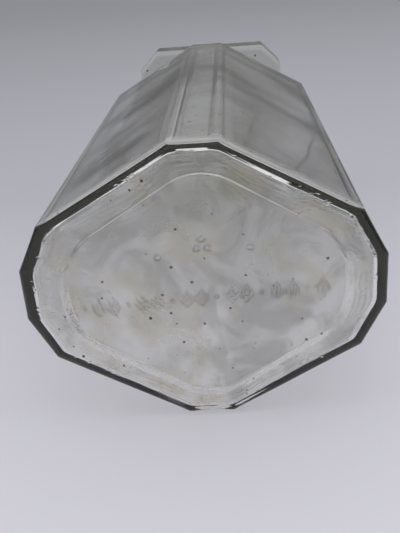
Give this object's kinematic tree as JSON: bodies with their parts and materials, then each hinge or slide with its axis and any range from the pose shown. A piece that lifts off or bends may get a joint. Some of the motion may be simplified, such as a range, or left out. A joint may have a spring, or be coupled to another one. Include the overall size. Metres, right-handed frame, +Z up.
{
  "type": "glass bottle with glass stopper",
  "caption": "Clear glass bottle with a twelve-sided lozenge body, recessed base, round neck and a square cut-corner glass stopper that lifts out.",
  "frame": {"origin": "centre of the base, on the plane that the bottle stands on", "axes": "+Z up the bottle's axis towards the stopper, +X along the wide side of the lozenge, +Y across the shallow side"},
  "size_m": [0.09, 0.074, 0.1908],
  "materials": {
    "bottle_glass": "clear moulded glass with a faint grey-green cast, slightly uneven, a mould seam and small seeds",
    "stopper_glass": "clear pressed glass head, with a matt ground shank"
  },
  "bodies": {
    "bottle": {"bottle_body": "bottle_glass"},
    "stopper": {"glass_stopper": "stopper_glass"}
  },
  "joints": [
    {"name": "stopper_lift", "type": "slide", "parent": "bottle", "child": "stopper", "axis": [0, 0, 1], "range_m": [0, 0.03]}
  ]
}
